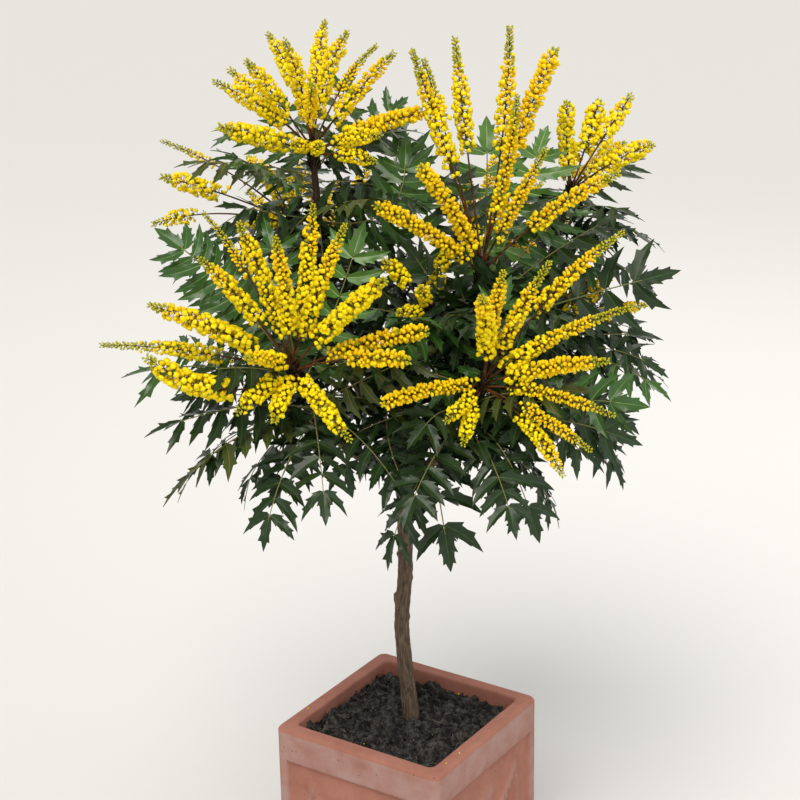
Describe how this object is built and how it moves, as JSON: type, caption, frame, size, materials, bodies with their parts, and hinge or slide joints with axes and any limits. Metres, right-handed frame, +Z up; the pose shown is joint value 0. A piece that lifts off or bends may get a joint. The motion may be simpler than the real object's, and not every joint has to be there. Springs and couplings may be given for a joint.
{
  "type": "potted standard mahonia shrub",
  "caption": "Standard evergreen shrub with spiny compound leaves and bursts of yellow flower spikes on a bare stem, in a square terracotta planter.",
  "frame": {"origin": "centre of the planter's flat underside", "axes": "+Z up the stem to the tips of the flower spikes, X and Y square to the planter's sides"},
  "size_m": [0.8695, 0.9106, 1.453],
  "materials": {
    "terracotta": "unglazed fired clay with a pale bloom",
    "compost": "damp crumbly potting compost",
    "bark": "grey-brown furrowed bark",
    "foliage": "leathery dark green leaf with a waxy gloss",
    "blossom": "waxy yellow petals"
  },
  "bodies": {
    "root": {"planter": "terracotta", "compost": "compost", "stem": "bark", "bough_top_left": "bark", "bough_low_left": "bark", "bough_top_right": "bark", "bough_low_right": "bark", "bough_far_right": "bark", "bough_far_left": "bark", "bough_middle": "bark", "bough_back_left": "bark", "bough_back_right": "bark", "bough_right_side": "bark", "flowers_top_left": "blossom", "flowers_low_left": "blossom", "flowers_top_right": "blossom", "flowers_low_right": "blossom", "flowers_far_right": "blossom", "flowers_far_left": "blossom", "flowers_middle": "blossom", "flowers_back_left": "blossom", "flowers_back_right": "blossom", "flowers_right_side": "blossom", "leaves_top_left": "foliage", "leaves_low_left": "foliage", "leaves_top_right": "foliage", "leaves_low_right": "foliage", "leaves_far_right": "foliage", "leaves_far_left": "foliage", "leaves_middle": "foliage", "leaves_back_left": "foliage", "leaves_back_right": "foliage", "leaves_right_side": "foliage"}
  },
  "joints": []
}
